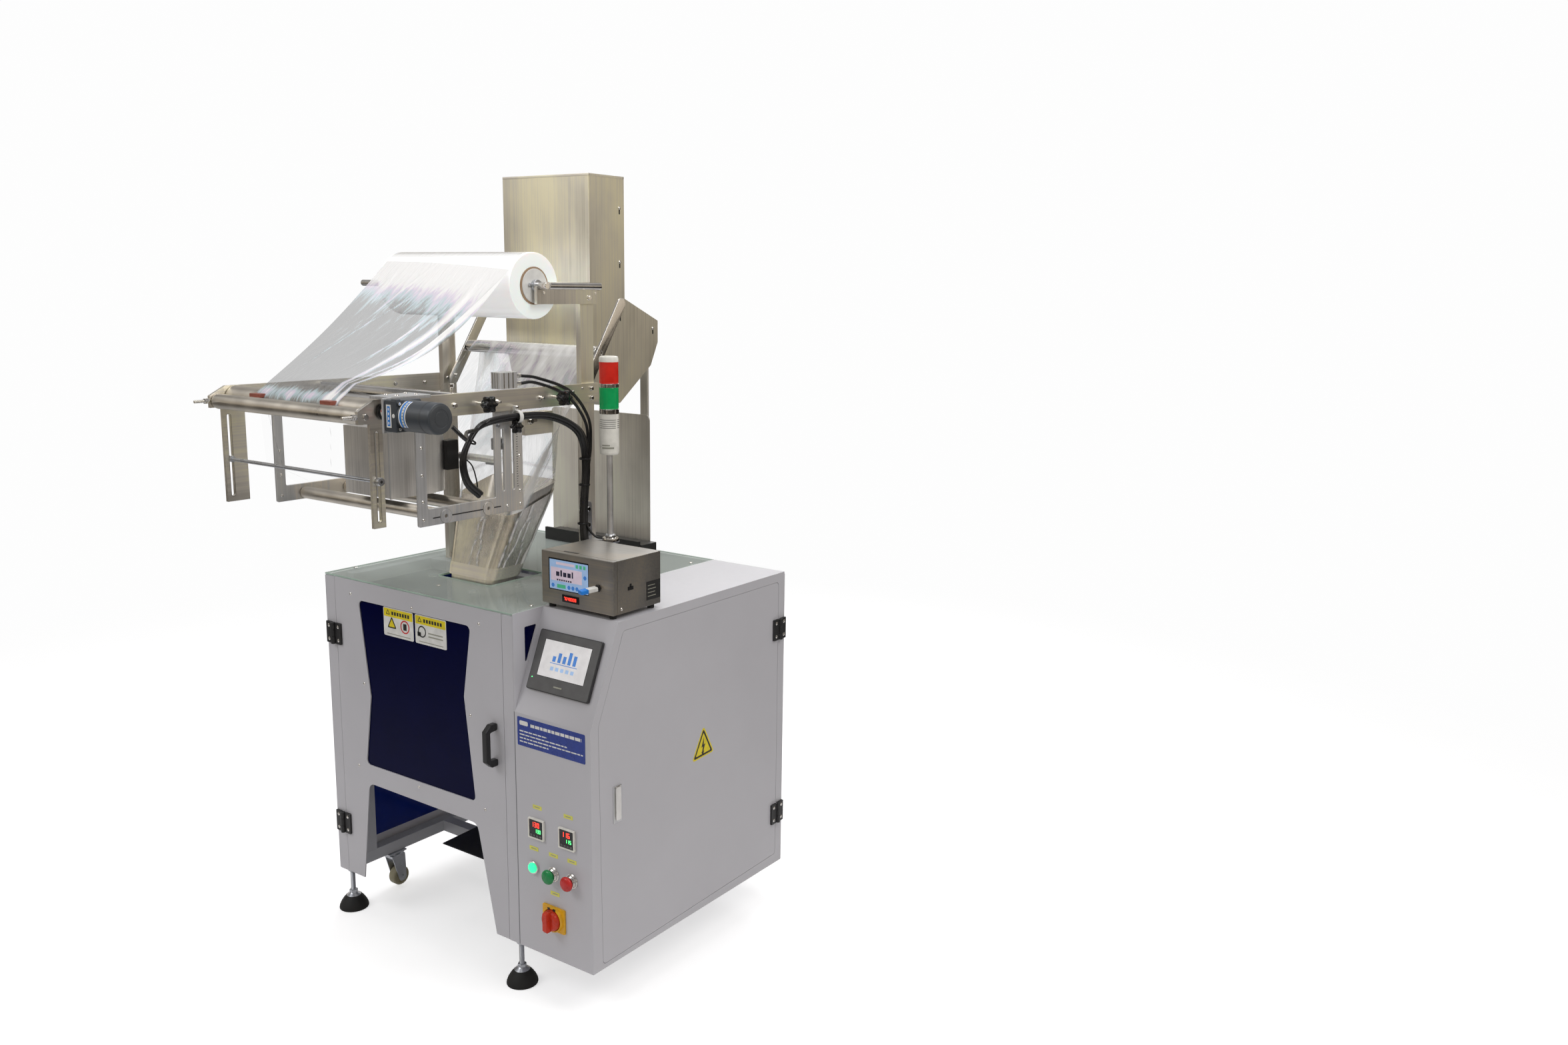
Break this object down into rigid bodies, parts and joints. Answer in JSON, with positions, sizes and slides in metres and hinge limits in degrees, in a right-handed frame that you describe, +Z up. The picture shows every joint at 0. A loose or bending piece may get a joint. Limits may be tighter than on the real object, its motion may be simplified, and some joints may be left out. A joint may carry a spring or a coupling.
{
  "type": "vertical form fill sealer",
  "caption": "Small vertical bagging machine: cabinet with windowed door and side electrical housing, film roll rack with driven rollers, leaning former tube, infeed hood and signal tower.",
  "frame": {"origin": "centre of the bounding box on the floor", "axes": "+Z up, the door faces -Y, the electrical housing is on the +X side"},
  "size_m": [0.919, 1.073, 1.856],
  "materials": {
    "powder_coat": "fine textured light grey powder coat",
    "frame_paint": "smooth grey paint",
    "tinted_acrylic": "navy tinted clear sheet",
    "clear_acrylic": "clear sheet with greenish edges",
    "black_plastic": "moulded gloss black",
    "black_metal": "black enamel",
    "bright_steel": "polished steel",
    "zinc_steel": "zinc plated",
    "dark_bezel": "dark grey moulding with a glass front",
    "green_plastic": "moulded green",
    "red_plastic": "moulded red",
    "foot_rubber": "black rubber over a zinc stud",
    "cream_nylon": "cream nylon",
    "brushed_stainless": "brushed sheet with a warm tone",
    "lamp_plastic": "coloured lenses on a grey white base",
    "silver_aluminium": "anodised silver plate",
    "film_plastic": "clear packing film",
    "roller_rubber": "black rubber covering",
    "motor_enamel": "dark blue grey enamel",
    "cable_sheath": "black cable sheath"
  },
  "bodies": {
    "machine": {"back_plate": "brushed_stainless", "base_frame": "frame_paint", "cabinet_shell": "powder_coat", "cable_loom": "cable_sheath", "coder_box": "brushed_stainless", "coder_head": "brushed_stainless", "control_housing": "powder_coat", "discharge_tray": "black_metal", "drive_motor": "motor_enamel", "film_web": "film_plastic", "foot_front_left": "foot_rubber", "foot_front_right": "foot_rubber", "foot_rear_left": "foot_rubber", "foot_rear_right": "foot_rubber", "former_collar": "bright_steel", "former_tube": "brushed_stainless", "front_frame": "powder_coat", "front_hinge_lower": "black_metal", "front_hinge_upper": "black_metal", "hmi_panel": "dark_bezel", "infeed_hood": "brushed_stainless", "l_frame_left": "silver_aluminium", "l_frame_right": "silver_aluminium", "post_left": "brushed_stainless", "post_right": "brushed_stainless", "roller_arm_left": "brushed_stainless", "roller_arm_right": "brushed_stainless", "side_hinge_lower": "black_metal", "side_hinge_upper": "black_metal", "side_plate_left": "brushed_stainless", "side_plate_right": "brushed_stainless", "top_cover": "clear_acrylic", "tower_light": "lamp_plastic"},
    "front_door_body": {"front_door": "powder_coat", "door_window": "tinted_acrylic", "door_handle": "black_plastic"},
    "side_door_body": {"side_door": "powder_coat"},
    "latch": {"door_latch": "bright_steel"},
    "start": {"start_button": "green_plastic"},
    "stop": {"stop_button": "red_plastic"},
    "main_switch": {"switch_knob": "red_plastic"},
    "caster_left": {"caster_fork_left": "zinc_steel"},
    "caster_right": {"caster_fork_right": "zinc_steel"},
    "wheel_left": {"caster_wheel_left": "cream_nylon"},
    "wheel_right": {"caster_wheel_right": "cream_nylon"},
    "roll": {"roll_shaft": "bright_steel", "film_roll": "film_plastic"},
    "drive": {"drive_roller": "bright_steel"},
    "nip": {"nip_roller": "bright_steel"},
    "top": {"top_roller": "bright_steel"},
    "idler_1": {"idler_front": "bright_steel"},
    "idler_2": {"idler_rear": "bright_steel"},
    "dancer": {"dancer_rod": "bright_steel"},
    "knob_1": {"knob_front": "black_plastic"},
    "knob_2": {"knob_rear": "black_plastic"},
    "jaw_1": {"jaw_front": "brushed_stainless"},
    "jaw_2": {"jaw_rear": "brushed_stainless"},
    "sealer": {"vertical_sealer": "silver_aluminium"},
    "pull_1": {"pull_roller_left": "roller_rubber"},
    "pull_2": {"pull_roller_right": "roller_rubber"}
  },
  "joints": [
    {"name": "front_door_swing", "type": "hinge", "parent": "machine", "child": "front_door_body", "pos_m": [-0.40445, -0.1832, 0.4985], "axis": [0, 0, -1], "range_deg": [0, 110]},
    {"name": "side_door_swing", "type": "hinge", "parent": "machine", "child": "side_door_body", "pos_m": [0.45475, 0.513, 0.5], "axis": [0, 0, 1], "range_deg": [0, 120]},
    {"name": "latch_lift", "type": "hinge", "parent": "side_door_body", "child": "latch", "pos_m": [0.45405, -0.0955, 0.524], "axis": [0, -1, 0], "range_deg": [0, 60]},
    {"name": "start_press", "type": "slide", "parent": "machine", "child": "start", "axis": [0, 1, 0], "range_m": [0, 0.005], "stiffness_N_per_m": 800},
    {"name": "stop_press", "type": "slide", "parent": "machine", "child": "stop", "axis": [0, 1, 0], "range_m": [0, 0.005], "stiffness_N_per_m": 800},
    {"name": "main_switch_turn", "type": "hinge", "parent": "machine", "child": "main_switch", "pos_m": [0.33455, -0.187, 0.211], "axis": [0, 1, 0], "range_deg": [0, 90]},
    {"name": "caster_left_swivel", "type": "hinge", "parent": "machine", "child": "caster_left", "pos_m": [-0.41595, -0.027, 0.1], "axis": [0, 0, 1], "continuous": true},
    {"name": "wheel_left_spin", "type": "hinge", "parent": "caster_left", "child": "wheel_left", "pos_m": [-0.41595, -0.011, 0.031], "axis": [1, 0, 0], "continuous": true},
    {"name": "caster_right_swivel", "type": "hinge", "parent": "machine", "child": "caster_right", "pos_m": [0.20155, -0.027, 0.1], "axis": [0, 0, 1], "continuous": true},
    {"name": "wheel_right_spin", "type": "hinge", "parent": "caster_right", "child": "wheel_right", "pos_m": [0.20155, -0.011, 0.031], "axis": [1, 0, 0], "continuous": true},
    {"name": "roll_spin", "type": "hinge", "parent": "machine", "child": "roll", "pos_m": [-0.10445, -0.007, 1.59], "axis": [1, 0, 0], "continuous": true},
    {"name": "drive_roller_spin", "type": "hinge", "parent": "machine", "child": "drive", "pos_m": [-0.09345, -0.445, 1.344], "axis": [1, 0, 0], "continuous": true},
    {"name": "nip_roller_spin", "type": "hinge", "parent": "machine", "child": "nip", "pos_m": [-0.09345, -0.4855, 1.336], "axis": [1, 0, 0], "continuous": true},
    {"name": "top_roller_spin", "type": "hinge", "parent": "machine", "child": "top", "pos_m": [-0.09345, 0.205, 1.435], "axis": [1, 0, 0], "continuous": true},
    {"name": "idler_front_spin", "type": "hinge", "parent": "machine", "child": "idler_1", "pos_m": [-0.09345, -0.289, 1.1135], "axis": [1, 0, 0], "continuous": true},
    {"name": "idler_rear_spin", "type": "hinge", "parent": "machine", "child": "idler_2", "pos_m": [-0.09345, -0.172, 1.1135], "axis": [1, 0, 0], "continuous": true},
    {"name": "dancer_lift", "type": "slide", "parent": "machine", "child": "dancer", "axis": [0, 0, 1], "range_m": [0, 0.09]},
    {"name": "knob_front_turn", "type": "hinge", "parent": "machine", "child": "knob_1", "pos_m": [0.18055, -0.201, 1.344], "axis": [1, 0, 0], "continuous": true},
    {"name": "knob_rear_turn", "type": "hinge", "parent": "machine", "child": "knob_2", "pos_m": [0.18055, 0.021, 1.344], "axis": [1, 0, 0], "continuous": true},
    {"name": "jaw_front_close", "type": "slide", "parent": "machine", "child": "jaw_1", "axis": [0, 1, 0], "range_m": [0, 0.044]},
    {"name": "jaw_rear_close", "type": "slide", "parent": "machine", "child": "jaw_2", "axis": [0, 1, 0], "range_m": [-0.044, 0]},
    {"name": "vertical_sealer_press", "type": "slide", "parent": "machine", "child": "sealer", "axis": [0, 1, 0], "range_m": [0, 0.0105]},
    {"name": "pull_left_spin", "type": "hinge", "parent": "machine", "child": "pull_1", "pos_m": [-0.21545, 0.038, 0.625], "axis": [0, 1, 0], "continuous": true},
    {"name": "pull_right_spin", "type": "hinge", "parent": "machine", "child": "pull_2", "pos_m": [0.00655, 0.038, 0.625], "axis": [0, 1, 0], "continuous": true}
  ],
  "couplings": [
    {"joint": "nip_roller_spin", "follows": "drive_roller_spin", "ratio": -1.4242},
    {"joint": "jaw_rear_close", "follows": "jaw_front_close", "ratio": -1},
    {"joint": "pull_right_spin", "follows": "pull_left_spin", "ratio": -1}
  ]
}
